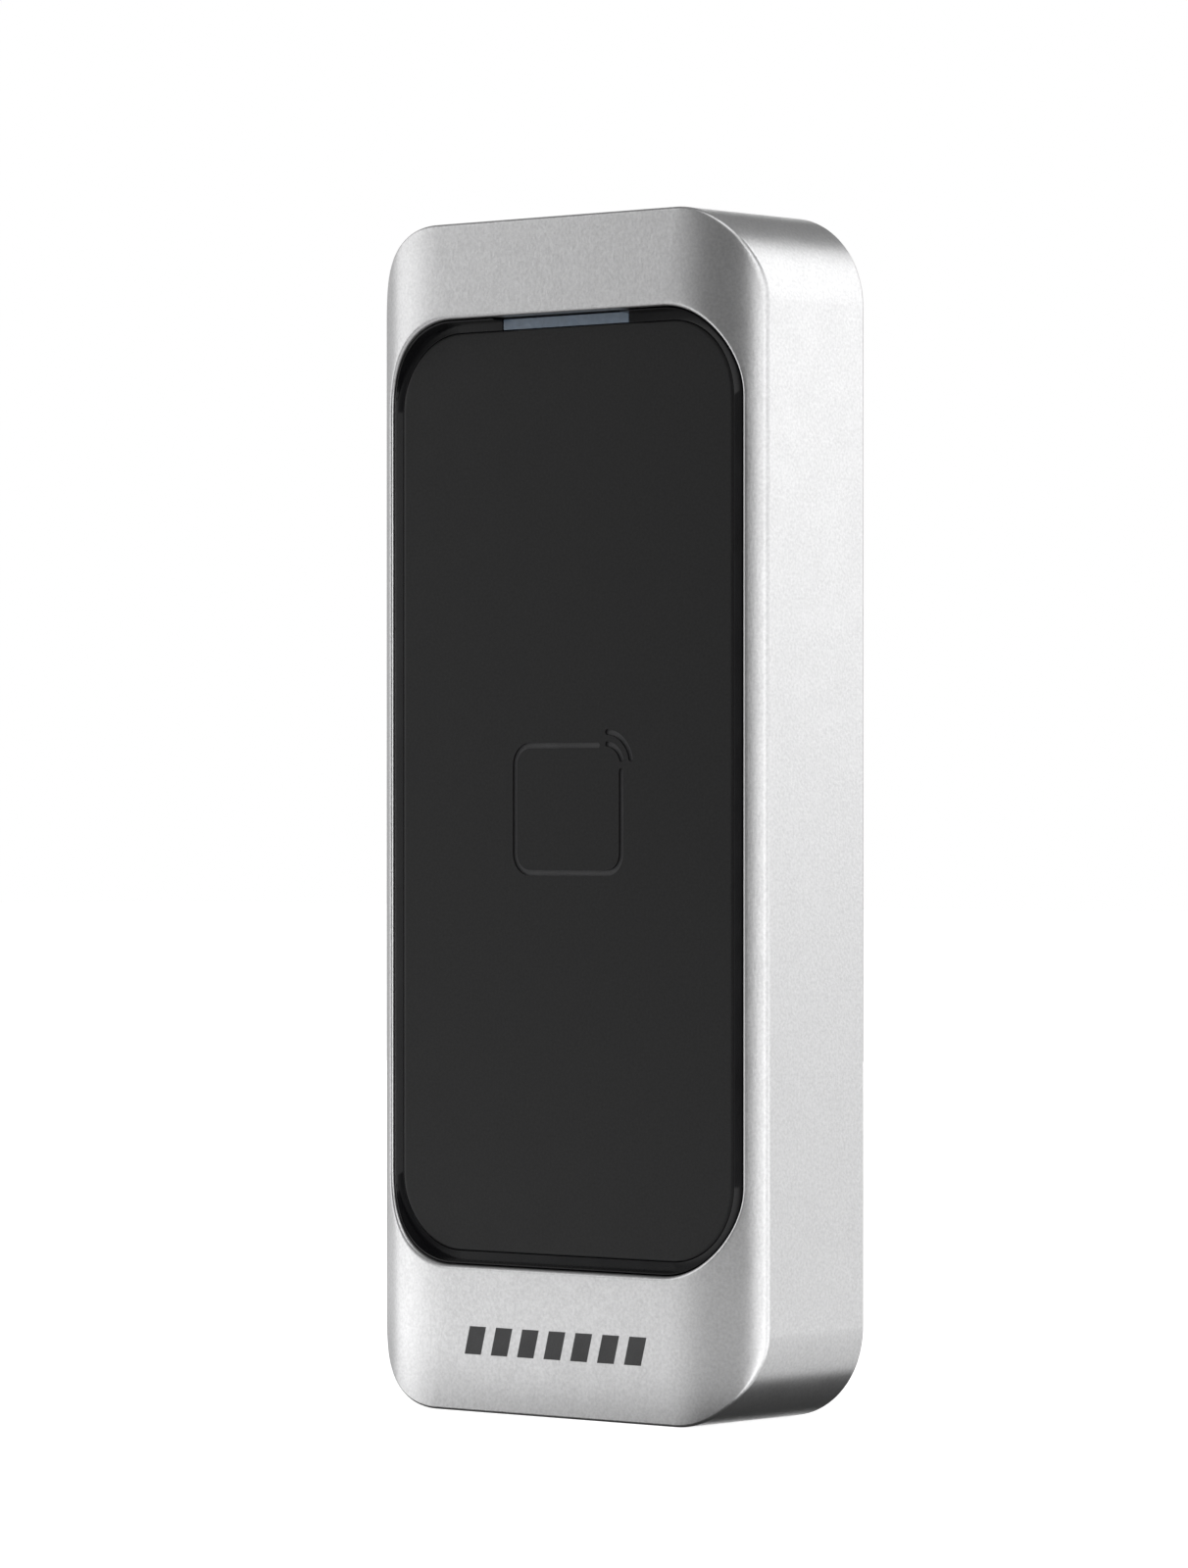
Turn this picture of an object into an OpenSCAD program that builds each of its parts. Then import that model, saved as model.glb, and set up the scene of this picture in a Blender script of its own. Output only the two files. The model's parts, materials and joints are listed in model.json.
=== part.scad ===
// Slim door-frame RFID card reader: a silver arched bezel around a sealed black reader
// module, hung on a steel wall plate by two hooks and held by one screw from below.
// Frame: millimetres, +Z up, the wall is the plane y = 0 and the front faces -Y.

/* [Case] */
// Height of the case
case_h = 125; // [122:0.5:128]
// Width of the case
case_w = 52.6; // [52:0.2:54]
// Distance from the wall to the front of the case
case_d = 19.5; // [19.5:0.1:21]
// Corner radius of the case, seen from the front
corner_r = 9.8; // [9.4:0.1:10.4]
// Width of the flat middle of the front
flat_w = 37.4; // [36:0.2:38]
// Radius of the rounded long edges of the front
arch_r = 10.7; // [10:0.1:11.5]

/* [Window] */
// Width of the opening in the bezel
window_w = 48.2; // [47.6:0.1:48.4]
// Height of the opening in the bezel
window_h = 99.6; // [98:0.2:100]
// Corner radius of the opening
window_r = 9.5; // [9:0.1:10]
// Height of the opening's centre above the middle of the case
window_z = 2.65; // [2:0.05:3]
// How far the flat black ring lies behind the front
ring_depth = 1.95; // [1.9:0.05:2.2]
// Width of the black ring
ring_w = 1.2; // [1:0.05:1.4]
// How far the flat panel lies behind the front
panel_depth = 1.9; // [1.8:0.05:2.1]
// Thickness of the flat panel
panel_t = 1.15; // [1:0.05:1.3]
// Length of the light bar at the top of the ring
light_bar_w = 17.3; // [12:0.1:20]

/* [Icon] */
// Width of the engraved card outline, between line centres
icon_w = 14.6; // [12:0.1:18]
// Height of the engraved card outline, between line centres
icon_h = 13.3; // [11:0.1:16]
// Distance of the icon's centre to the right of the middle
icon_x = 0.38; // [0:0.02:0.5]
// Height of the icon's centre above the middle of the case
icon_z = 0.8; // [-4:0.1:4]
// Corner radius of the card outline, on the line's centre
icon_r = 2.05; // [1.6:0.05:2.4]
// Gap between the end of the top line and the corner wave
icon_gap = 0.95; // [0.5:0.05:1.2]
// Width of the engraved line
icon_line = 0.6; // [0.4:0.05:0.8]
// Depth of the engraved line
icon_depth = 0.25; // [0.1:0.05:0.4]

/* [Wall plate] */
// Thickness of the steel wall plate
plate_t = 1.2; // [1:0.1:1.3]
// Width of the wall plate
plate_w = 48.4; // [46:0.2:48.6]
// Spacing of the round wall-box screw holes
box_holes = 60; // [58:0.5:62]
// Spacing of the slotted wall-box screw holes
box_slots = 83.3; // [82:0.1:84]
// Radius of the screw holes and of the ends of the slots
box_hole_r = 2.0; // [1.8:0.1:2.2]
// Length of a slot from end to end
box_slot_len = 8; // [6:0.5:9]
// Sideways spacing of the four screw holes for a door frame
frame_holes_w = 34; // [30:1:36]
// Upright spacing of the four screw holes for a door frame
frame_holes_h = 88; // [84:1:92]
// Radius of the screw holes for a door frame
frame_hole_r = 1.8; // [1.6:0.1:2.1]
// Distance of each hook from the middle
hook_x = 10; // [9:0.5:11]
// Width of a hook
hook_w = 8; // [6:0.5:9]

/* [Board] */
// Width of the circuit board
board_w = 44.4; // [43.6:0.1:44.4]
// Height of the circuit board
board_h = 95.2; // [94:0.2:95.4]
// Thickness of the circuit board
board_t = 1.6; // [1.2:0.2:1.6]
// Turns of the printed antenna
coil_turns = 5; // [3:1:5]
// Number of switches in the address switch bank
dip_count = 4; // [4:1:4]
// Travel of an address switch slider
dip_travel = 1.0; // [0.8:0.1:1.2]

/* [Moving parts] */
// Radius of the plunger's stem
plunger_r = 1.5; // [1.3:0.1:1.5]
// Turns of the tamper spring
spring_turns = 4; // [3:1:5]
// Bore radius of the cable grommet
grommet_r = 3.0; // [2.5:0.1:3.2]

/* [Hidden] */
$fn = 64;
past = 1;            // how far a cutter runs past the surface that it cuts

// Depths, from the front to the wall
front_y = -case_d;
ring_front_y = front_y + ring_depth;
panel_front_y = front_y + panel_depth;
panel_rear_y = panel_front_y + panel_t;
adhesive_t = 0.15;
tray_front_y = panel_rear_y + adhesive_t;
tray_rear_y = tray_front_y + 1.2;
board_front_y = -11.6;
board_rear_y = board_front_y + board_t;
flange_front_y = -6.3;
gasket_front_y = -4.9;
cover_front_y = -4.6;
cover_rear_y = -3.0;
plate_front_y = -plate_t;
rim_y = -0.6;        // the bezel's rear rim stands just off the wall

// Ring and module
module_gap = 0.17;   // dark gap between the bezel and the black ring
module_w = window_w - 2 * module_gap;
module_h = window_h - 2 * module_gap;
module_r = window_r - module_gap;
recess_w = module_w - 2 * ring_w;
recess_h = module_h - 2 * ring_w;
recess_r = module_r - ring_w;
skirt_t = 1.4;
cavity_w = module_w - 2 * skirt_t;
cavity_h = module_h - 2 * skirt_t;
cavity_r = module_r - skirt_t;

// The icon's two waves: how far outside the card's corner, and the angles of their ends
wave_out = [0.1, 1.35];
wave_from = [8, 6];
wave_to = 92;

// Flange of the module and the rear cover, which share one outline
cover_w = 48.8;
cover_low_z = -51.2;
cover_top_z = 55.9;
cover_h = cover_top_z - cover_low_z;
cover_z = (cover_top_z + cover_low_z) / 2;
cover_r = 4;
seat_gap = 0.2;

// Screws that hold the cover, and the holes for them
cover_screw_at = [for (x = [-20.5, 20.5], z = [cover_low_z + 2.2, cover_top_z - 2.2]) [x, z]];
cover_screw_r = 0.95;
cover_screw_head_r = 1.9;
cover_screw_head_h = 1.2;
cover_screw_tip_y = -11.5;
cover_screw_hole_r = 1.15;
cover_screw_hole_y = -13;
cross_slot = [2.2, 1.2, 0.45];

// Wall plate, hooks and hinge
plate_low_z = -57.6;
plate_top_z = 57.8;
plate_r = 5;
hook_tip_y = -4.6;
hook_tip_t = 1.2;
hook_rise = 2.0;
pivot_r = 0.8;
pivot_y = -2.3;
pivot_z = plate_top_z + pivot_r + 0.05;
pocket_w = 34;
plate_gap = 0.5;     // round the wall plate, inside the bezel
plunger_hole_gap = 1.3;
pocket_front_y = front_y + 2.7;
top_pocket_z = [54.2, case_h / 2 - 2.2];
low_pocket_z = [-case_h / 2 + 2.3, -52.0];

// Locking screw and its tab
lock_y = -6;
lock_r = 1.45;
lock_head_r = 2.75;
lock_head_h = 1.1;
lock_head_low_z = -case_h / 2 + 0.1;
lock_tip_z = -54.6;
tab_w = 10;
tab_front_y = -10;
tab_boss_r = 2.6;
tab_boss_h = 1.2;
lock_slot_floor_z = lock_head_low_z + lock_head_h + 0.1;
lock_slot_gap = 0.35;
lock_head_gap = 0.45;
lock_socket_r = 1.15;
lock_socket_h = 0.9;

// Wall plate's cable window and the grommet above it
cable_x = 0;
cable_z = -16;
cable_window = [20, 18];
cable_window_r = 3;
grommet_out_r = 5;
grommet_neck_r = 3.95;
grommet_front_y = cover_front_y - 1;
grommet_rear_y = cover_rear_y + 0.7;

// Tamper switch
tamper_at = [13, 36];
tamper_size = 7;
tamper_bore_r = 2.0;
tamper_floor_y = board_rear_y + 0.6;
tamper_lip_y = -6.1;
tamper_mouth_y = -5.2;
plunger_taper = 0.4;
spring_pin_r = 0.6;
piston_t = 0.7;
piston_top_y = tamper_lip_y - 0.1;
piston_low_y = piston_top_y - piston_t;
spring_r = 1.2;
spring_wire_r = 0.16;
spring_steps = 16;
spring_sides = 6;

// Address switches
dip_at = [0, 23.4];
dip_pitch = 2.54;
dip_size = [dip_count * dip_pitch + 0.6, 6.4];
dip_rear_y = -5.6;
dip_slot = [1.3, 3.2];
dip_slot_d = 0.9;
dip_knob = [1.1, 1.6];
dip_knob_h = 1.6;

// Posts and screws that hold the board
post_r = 2.3;
post_at = [[-16, 46.6], [16, 46.6], [-14, -38], [14, -38]];
post_hole_r = 0.8;
board_screw_r = 0.75;
board_screw_head_r = 1.8;
board_screw_head_h = 1;
board_hole_r = 1.0;
board_cross_slot = [2, 0.9, 0.4];

// Printed antenna: size and corner radius of its outer turn, pitch and trace width
coil_size = [42.6, 87.8];
coil_r = 6;
coil_z = -0.3;
coil_pitch = 0.8;
coil_trace = 0.45;
coil_t = 0.1;

// Light bar's shelf and the lamps under it
shelf_low_z = 46.9;
shelf_t = 1.1;
shelf_gap = 0.9;
led_z = 48.6;
led_spacing = 5.4;
led_size = [1.6, 1.2];
led_h = 0.7;

// Parts on the rear of the board: centres and sizes across X and Z, and heights
rf_at = [-11, 10];
rf_size = [6, 6];
rf_h = 0.9;
controller_at = [4, 6];
controller_size = [7, 7];
controller_h = 1.4;
controller_leads = 12;
controller_pitch = 0.5;
driver_at = [-13, -13];
driver_size = [3.9, 4.9];
driver_h = 1.5;
driver_leads = 4;
driver_pitch = 1.27;
lead_w = 0.25;
lead_foot = [0.7, 0.15];
lead_rise = [0.15, 0.8];
regulator_at = [13, -26];
regulator_size = [6.5, 3.5];
regulator_h = 1.6;
regulator_tab = [3, 1.3, 0.4];
inductor_at = [13, -16];
inductor_size = [6, 6];
inductor_h = 3;
inductor_core_r = 2.5;
can_x = [-15.5, -9.5];
can_z = -27;
can_r = 2.2;
can_h = 4.4;
can_base = [4.8, 4.8, 0.7];
surge_x = [-8, -2.6, 2.8];
surge_z = -42.2;
surge_size = [3.9, 2.4];
surge_h = 1.9;
crystal_at = [[-11, 2.6], [12.4, 6]];
crystal_size = [[3.2, 2.5], [2.5, 3.2]];
crystal_h = 0.8;
chip_size = [1.6, 0.8];
chip_h = 0.5;
chip_pitch = 2.6;
buzzer_at = [-10.5, 36.5];
buzzer_r = 6;
buzzer_h = 4.4;
buzzer_port_r = 1.1;
socket_at = [0, -34.4];
socket_pins = 8;
socket_pitch = 2;
socket_size = [socket_pins * socket_pitch + 2.6, 5.6];
socket_mouth = [socket_pins * socket_pitch + 1, 3.8];
socket_h = 5;
socket_floor = 1;
pin_size = [0.5, 0.5];
pin_h = 3.2;

silver = [0.76, 0.77, 0.78];
black = [0.07, 0.07, 0.08];
board_green = [0.05, 0.22, 0.13];
steel = [0.72, 0.73, 0.75];
chip_black = [0.1, 0.1, 0.11];
tin = [0.8, 0.8, 0.82];

// ---- shared shapes ----

// Rectangle with round corners, centred on the origin
module rounded_rect(w, h, r) {
    square([w - 2 * r, h], center = true);
    square([w, h - 2 * r], center = true);
    for (x = [-1, 1], z = [-1, 1])
        translate([x * (w / 2 - r), z * (h / 2 - r)]) circle(r);
}

// Puts a flat X-Z outline between two depths
module between(y0, y1) {
    translate([0, y1, 0]) rotate([90, 0, 0]) linear_extrude(y1 - y0) children();
}

// Plate with round corners, seen from the front
module slab(w, h, r, y0, y1, z = 0) {
    between(y0, y1) translate([0, z]) rounded_rect(w, h, r);
}

// Box from its lowest to its highest corner
module box(low, high) {
    translate(low) cube(high - low);
}

// Box on the rear of the board: centre x and z, size x and z, height
module chip(at, size, h, y0 = board_rear_y) {
    box([at[0] - size[0] / 2, y0, at[1] - size[1] / 2],
        [at[0] + size[0] / 2, y0 + h, at[1] + size[1] / 2]);
}

// Round bar along Y
module y_rod(at, r, y0, y1) {
    translate([at[0], y1, at[1]]) rotate([90, 0, 0]) cylinder(r = r, h = y1 - y0);
}

// Everything behind the arched front
module arch() {
    side = case_w / 2;
    translate([0, 0, -case_h]) linear_extrude(2 * case_h) difference() {
        translate([-case_w, front_y]) square([2 * case_w, case_d + past]);
        for (s = [-1, 1]) difference() {
            translate([s * (flat_w + side) / 2, front_y + arch_r / 2])
                square([side, arch_r + 2 * past], center = true);
            translate([s * flat_w / 2, front_y + arch_r]) circle(arch_r, $fn = 96);
        }
    }
}

// Slot that is open to the rear, with a round front end, for the locking screw
module screw_slot(r, z0, z1) {
    translate([0, lock_y, z0]) cylinder(r = r, h = z1 - z0);
    box([-r, lock_y, z0], [r, past, z1]);
}

// ---- wall side ----

module wall_plate_outline() {
    height = plate_top_z - plate_low_z;
    middle = (plate_top_z + plate_low_z) / 2;
    difference() {
        translate([0, middle]) rounded_rect(plate_w, height, plate_r);
        translate([cable_x, cable_z])
            rounded_rect(cable_window[0], cable_window[1], cable_window_r);
        translate(tamper_at) circle(plunger_r + plunger_hole_gap);
        for (s = [-1, 1]) {
            translate([0, s * box_holes / 2]) circle(box_hole_r);
            translate([0, s * box_slots / 2])
                square([2 * box_hole_r, box_slot_len - 2 * box_hole_r], center = true);
            for (e = [-1, 1])
                translate([0, s * box_slots / 2 + e * (box_slot_len / 2 - box_hole_r)])
                    circle(box_hole_r);
        }
        for (x = [-1, 1], z = [-1, 1])
            translate([x * frame_holes_w / 2, z * frame_holes_h / 2]) circle(frame_hole_r);
    }
}

module hook(x) {
    left = x - hook_w / 2;
    right = x + hook_w / 2;
    box([left, hook_tip_y, plate_top_z - plate_t], [right, plate_front_y + 0.1, plate_top_z]);
    box([left, hook_tip_y, plate_top_z - plate_t],
        [right, hook_tip_y + hook_tip_t, plate_top_z + hook_rise]);
}

module wall_plate() color(steel) {
    between(plate_front_y, 0) wall_plate_outline();
    for (s = [-1, 1]) hook(s * hook_x);
    difference() {
        union() {
            box([-tab_w / 2, tab_front_y, plate_low_z],
                [tab_w / 2, plate_front_y + 0.1, plate_low_z + plate_t]);
            translate([0, lock_y, plate_low_z]) cylinder(r = tab_boss_r, h = plate_t + tab_boss_h);
        }
        translate([0, lock_y, plate_low_z - past]) cylinder(r = lock_r + 0.05, h = 5);
    }
}

module lock_screw() color(tin) difference() {
    union() {
        translate([0, lock_y, lock_head_low_z]) cylinder(r = lock_head_r, h = lock_head_h);
        translate([0, lock_y, lock_head_low_z + lock_head_h - 0.1])
            cylinder(r = lock_r, h = lock_tip_z - lock_head_low_z - lock_head_h + 0.1);
    }
    translate([0, lock_y, lock_head_low_z - past])
        cylinder(r = lock_socket_r, h = past + lock_socket_h, $fn = 6);
}

// ---- case ----

// Rail under the top wall that rests in the hooks and turns in them
module hinge_rail() {
    width = pocket_w + 2;
    box([-width / 2, pivot_y - pivot_r, pivot_z],
        [width / 2, pivot_y + pivot_r, top_pocket_z[1] + 0.2]);
    translate([-width / 2, pivot_y, pivot_z]) rotate([0, 90, 0]) cylinder(r = pivot_r, h = width);
}

module pocket(z) {
    box([-pocket_w / 2, pocket_front_y, z[0]], [pocket_w / 2, past, z[1]]);
}

module front_bezel() color(silver) {
    difference() {
        intersection() {
            slab(case_w, case_h, corner_r, front_y, rim_y);
            arch();
        }
        slab(window_w, window_h, window_r, front_y - past, past, window_z);
        slab(cover_w + 2 * seat_gap, cover_h + 2 * seat_gap, cover_r + seat_gap,
             flange_front_y, past, cover_z);
        slab(plate_w + 2 * plate_gap, plate_top_z - plate_low_z + 2 * plate_gap,
             plate_r + plate_gap, plate_front_y - 0.3, past, (plate_top_z + plate_low_z) / 2);
        pocket(top_pocket_z);
        pocket(low_pocket_z);
        for (at = cover_screw_at) y_rod(at, cover_screw_r + 0.05, cover_screw_hole_y, past);
        screw_slot(lock_r + lock_slot_gap, -case_h / 2 - past, low_pocket_z[0] + past);
        screw_slot(lock_head_r + lock_head_gap, -case_h / 2 - past, lock_slot_floor_z);
    }
    hinge_rail();
}

module light_slot() {
    box([-light_bar_w / 2 - 0.08, front_y - past, window_z + recess_h / 2 - past / 2],
        [light_bar_w / 2 + 0.08, board_front_y - 0.6, window_z + module_h / 2 + past]);
}

module inner_housing() color(black) {
    difference() {
        union() {
            slab(module_w, module_h, module_r, ring_front_y, gasket_front_y, window_z);
            slab(cover_w, cover_h, cover_r, flange_front_y, gasket_front_y, cover_z);
        }
        slab(recess_w, recess_h, recess_r, front_y - past, tray_front_y, window_z);
        slab(cavity_w, cavity_h, cavity_r, tray_rear_y, past, window_z);
        light_slot();
        for (at = cover_screw_at) y_rod(at, cover_screw_hole_r, cover_screw_hole_y, past);
    }
    difference() {
        for (at = post_at) y_rod(at, post_r, tray_rear_y - 0.2, board_front_y);
        for (at = post_at) y_rod(at, post_hole_r, tray_rear_y + 0.2, board_front_y + past);
    }
}

// Line drawn along an arc about the icon's corner
module icon_wave(r, from, to) {
    reach = 2 * r;
    middle = (from + to) / 2;
    intersection() {
        difference() {
            circle(r + icon_line / 2);
            circle(r - icon_line / 2);
        }
        polygon([[0, 0], reach * [cos(from), sin(from)],
                 reach * [cos(middle), sin(middle)], reach * [cos(to), sin(to)]]);
    }
}

// Card outline whose top right corner is one of two radio waves
module icon() {
    corner = [icon_w / 2 - icon_r, icon_h / 2 - icon_r];
    line_end = [corner[0] - icon_gap, corner[1] - icon_gap / 2];
    translate([icon_x, icon_z]) {
        difference() {
            rounded_rect(icon_w + icon_line, icon_h + icon_line, icon_r + icon_line / 2);
            rounded_rect(icon_w - icon_line, icon_h - icon_line, icon_r - icon_line / 2);
            translate(line_end) square(icon_w);
        }
        translate(corner) {
            icon_wave(icon_r + wave_out[0], wave_from[0], wave_to);
            icon_wave(icon_r + wave_out[1], wave_from[1], wave_to);
        }
    }
}

module window_panel() color([0.05, 0.05, 0.06]) difference() {
    slab(recess_w - 0.1, recess_h - 0.1, recess_r - 0.05, panel_front_y, panel_rear_y, window_z);
    between(panel_front_y - past, panel_front_y + icon_depth) icon();
}

module panel_adhesive() color([0.85, 0.85, 0.8]) difference() {
    slab(recess_w - 0.8, recess_h - 0.8, recess_r - 0.4, panel_rear_y, tray_front_y, window_z);
    slab(recess_w - 12, recess_h - 12, 3, panel_rear_y - past, tray_front_y + past, window_z);
}

module light_guide() color([0.32, 0.36, 0.42]) {
    half = light_bar_w / 2;
    low_z = window_z + recess_h / 2 + 0.03;
    top_z = window_z + module_h / 2 - 0.02;
    shelf_rear_y = board_front_y - shelf_gap;
    box([-half, ring_front_y + 0.05, low_z], [half, shelf_rear_y, top_z]);
    box([-half, shelf_rear_y - shelf_t, shelf_low_z], [half, shelf_rear_y, low_z + 0.1]);
}

module housing_gasket() color([0.2, 0.2, 0.21]) difference() {
    slab(module_w, module_h, module_r, gasket_front_y, cover_front_y, window_z);
    slab(cavity_w, cavity_h, cavity_r, gasket_front_y - past, past, window_z);
}

module rear_cover() color([0.12, 0.12, 0.13]) difference() {
    slab(cover_w, cover_h, cover_r, cover_front_y, cover_rear_y, cover_z);
    for (at = cover_screw_at) y_rod(at, cover_screw_hole_r, cover_screw_hole_y, past);
    y_rod([cable_x, cable_z], grommet_neck_r + 0.05, cover_screw_hole_y, past);
    y_rod(tamper_at, plunger_r + 0.4, cover_screw_hole_y, past);
    chip(dip_at, dip_size + [0.8, 0.8], past - board_rear_y);
}

module cover_screws() color(tin) for (at = cover_screw_at) difference() {
    union() {
        y_rod(at, cover_screw_head_r, cover_rear_y, cover_rear_y + cover_screw_head_h);
        y_rod(at, cover_screw_r, cover_screw_tip_y, cover_rear_y + 0.1);
    }
    for (turn = [0, 90])
        translate([at[0], cover_rear_y + cover_screw_head_h, at[1]]) rotate([0, turn, 0])
            cube(cross_slot, center = true);
}

// Ring turned about Y with a groove round it for the cover's edge
module cable_grommet() color([0.09, 0.09, 0.1])
    translate([cable_x, 0, cable_z]) rotate([-90, 0, 0]) rotate_extrude() difference() {
        translate([grommet_r, grommet_front_y])
            square([grommet_out_r - grommet_r, grommet_rear_y - grommet_front_y]);
        translate([grommet_neck_r, cover_front_y - 0.03])
            square([grommet_out_r, cover_rear_y - cover_front_y + 0.06]);
    }

// ---- board ----

module main_board() color(board_green) difference() {
    slab(board_w, board_h, cavity_r - 0.3, board_front_y, board_rear_y, window_z);
    for (at = post_at) y_rod(at, board_hole_r, board_front_y - past, board_rear_y + past);
}

module coil_slab(inset, y0, y1) {
    slab(coil_size[0] - 2 * inset, coil_size[1] - 2 * inset, coil_r - inset, y0, y1, coil_z);
}

module antenna_coil() color([0.72, 0.45, 0.2])
    for (i = [0 : coil_turns - 1]) difference() {
        coil_slab(i * coil_pitch, board_front_y - coil_t, board_front_y);
        coil_slab(i * coil_pitch + coil_trace, board_front_y - past, board_front_y + past);
    }

module status_leds() color([0.95, 0.93, 0.85])
    for (i = [-1 : 1]) chip([i * led_spacing, led_z], led_size, led_h, board_front_y - led_h);

module board_screws() color(tin) for (at = post_at) difference() {
    union() {
        y_rod(at, board_screw_head_r, board_rear_y, board_rear_y + board_screw_head_h);
        y_rod(at, board_screw_r, tray_rear_y + 0.6, board_rear_y + 0.1);
    }
    for (turn = [0, 90])
        translate([at[0], board_rear_y + board_screw_head_h, at[1]]) rotate([0, turn, 0])
            cube(board_cross_slot, center = true);
}

// Gull-wing leads along two sides of a chip
module leads(at, count, pitch, reach) {
    for (i = [0 : count - 1], s = [-1, 1]) {
        z = at[1] + (i - (count - 1) / 2) * pitch;
        chip([at[0] + s * (reach + lead_foot[0] / 2), z], [lead_foot[0], lead_w], lead_foot[1]);
        chip([at[0] + s * (reach + lead_rise[0] / 2), z], [lead_rise[0], lead_w], lead_rise[1]);
    }
}

module rf_chip() color(chip_black) chip(rf_at, rf_size, rf_h);

module controller_chip() color(chip_black) chip(controller_at, controller_size, controller_h);

module controller_pins() color(tin) {
    reach = controller_size[0] / 2;
    leads(controller_at, controller_leads, controller_pitch, reach);
    translate([controller_at[0], 0, controller_at[1]]) rotate([0, 90, 0])
        leads([0, 0], controller_leads, controller_pitch, reach);
}

module line_driver_chip() color(chip_black) chip(driver_at, driver_size, driver_h);

module line_driver_pins() color(tin)
    leads(driver_at, driver_leads, driver_pitch, driver_size[0] / 2);

module voltage_regulator() color(chip_black) {
    chip(regulator_at, regulator_size, regulator_h);
    chip(regulator_at + [0, (regulator_size[1] + regulator_tab[1]) / 2],
         [regulator_tab[0], regulator_tab[1]], regulator_tab[2]);
}

module power_inductor() color([0.25, 0.25, 0.27]) {
    chip(inductor_at, inductor_size, inductor_h - 0.4);
    y_rod(inductor_at, inductor_core_r, board_rear_y + inductor_h - 0.5,
          board_rear_y + inductor_h);
}

module bulk_capacitors() color(steel)
    for (x = can_x) {
        y_rod([x, can_z], can_r, board_rear_y + can_base[2] - 0.1, board_rear_y + can_h);
        chip([x, can_z], [can_base[0], can_base[1]], can_base[2]);
    }

module surge_diodes() color(chip_black)
    for (x = surge_x) chip([x, surge_z], surge_size, surge_h);

module crystals() color(tin)
    for (i = [0, 1]) chip(crystal_at[i], crystal_size[i], crystal_h);

module chip_column(x, low_z, count) {
    for (i = [0 : count - 1]) chip([x, low_z + i * chip_pitch], chip_size, chip_h);
}

module chip_components() color([0.7, 0.6, 0.45]) {
    chip_column(-18.6, -4, 6);
    chip_column(-16.4, -4, 6);
    chip_column(18.4, -6, 5);
    chip_column(-19.4, -37, 4);
    for (i = [0 : 4]) chip([-4 + i * chip_pitch, -2], [chip_size[1], chip_size[0]], chip_h);
}

module buzzer() color(chip_black) difference() {
    y_rod(buzzer_at, buzzer_r, board_rear_y, board_rear_y + buzzer_h);
    y_rod(buzzer_at, buzzer_port_r, board_rear_y + buzzer_h / 2, board_rear_y + buzzer_h + past);
}

module harness_socket() color([0.93, 0.92, 0.88]) difference() {
    chip(socket_at, socket_size, socket_h);
    chip(socket_at, socket_mouth, socket_h, board_rear_y + socket_floor);
}

module harness_pins() color([0.85, 0.7, 0.3]) for (i = [0 : socket_pins - 1])
    chip([(i - (socket_pins - 1) / 2) * socket_pitch, socket_at[1]], pin_size, pin_h,
         board_rear_y + socket_floor);

function dip_x(i) = dip_at[0] + (i - (dip_count - 1) / 2) * dip_pitch;

module dip_switch_body() color([0.15, 0.3, 0.6]) difference() {
    chip(dip_at, dip_size, dip_rear_y - board_rear_y);
    for (i = [0 : dip_count - 1])
        chip([dip_x(i), dip_at[1]], dip_slot, dip_slot_d + past, dip_rear_y - dip_slot_d);
}

// Slider at the low end of its slot; it slides up
module dip_slider(i) color([0.95, 0.95, 0.93]) {
    low_z = dip_at[1] - dip_travel / 2;
    chip([dip_x(i), low_z], dip_knob, dip_knob_h, dip_rear_y - dip_slot_d + 0.05);
}

module tamper_switch_body() color(chip_black) difference() {
    chip(tamper_at, [tamper_size, tamper_size], tamper_mouth_y - board_rear_y);
    y_rod(tamper_at, tamper_bore_r, tamper_floor_y, tamper_lip_y);
    y_rod(tamper_at, plunger_r + 0.1, tamper_lip_y - past, tamper_mouth_y + past);
}

module tamper_plunger() color([0.9, 0.9, 0.88]) {
    y_rod(tamper_at, plunger_r, piston_top_y - 0.1, -plunger_taper);
    translate([tamper_at[0], -plunger_taper, tamper_at[1]]) rotate([-90, 0, 0])
        cylinder(r1 = plunger_r, r2 = plunger_r - plunger_taper, h = plunger_taper);
    y_rod(tamper_at, tamper_bore_r - 0.15, piston_low_y, piston_top_y);
    y_rod(tamper_at, spring_pin_r, piston_low_y - 1, piston_low_y + 0.1);
}

// Helix swept as one closed skin
module tamper_spring() color(steel) {
    sides = spring_sides;
    rings = spring_turns * spring_steps;
    low_y = tamper_floor_y + spring_wire_r + 0.02;
    top_y = piston_low_y - spring_wire_r - 0.02;
    points = [for (i = [0 : rings], s = [0 : sides - 1])
        let (turn = 360 * i / spring_steps,
             across = 360 * s / sides,
             r = spring_r + spring_wire_r * cos(across))
        [tamper_at[0] + r * cos(turn),
         low_y + (top_y - low_y) * i / rings + spring_wire_r * sin(across),
         tamper_at[1] + r * sin(turn)]];
    walls = [for (i = [0 : rings - 1], s = [0 : sides - 1])
        let (a = i * sides + s, b = i * sides + (s + 1) % sides) [b, a, a + sides, b + sides]];
    caps = [[for (s = [0 : sides - 1]) s], [for (s = [sides - 1 : -1 : 0]) rings * sides + s]];
    polyhedron(points, concat(walls, caps));
}

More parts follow.
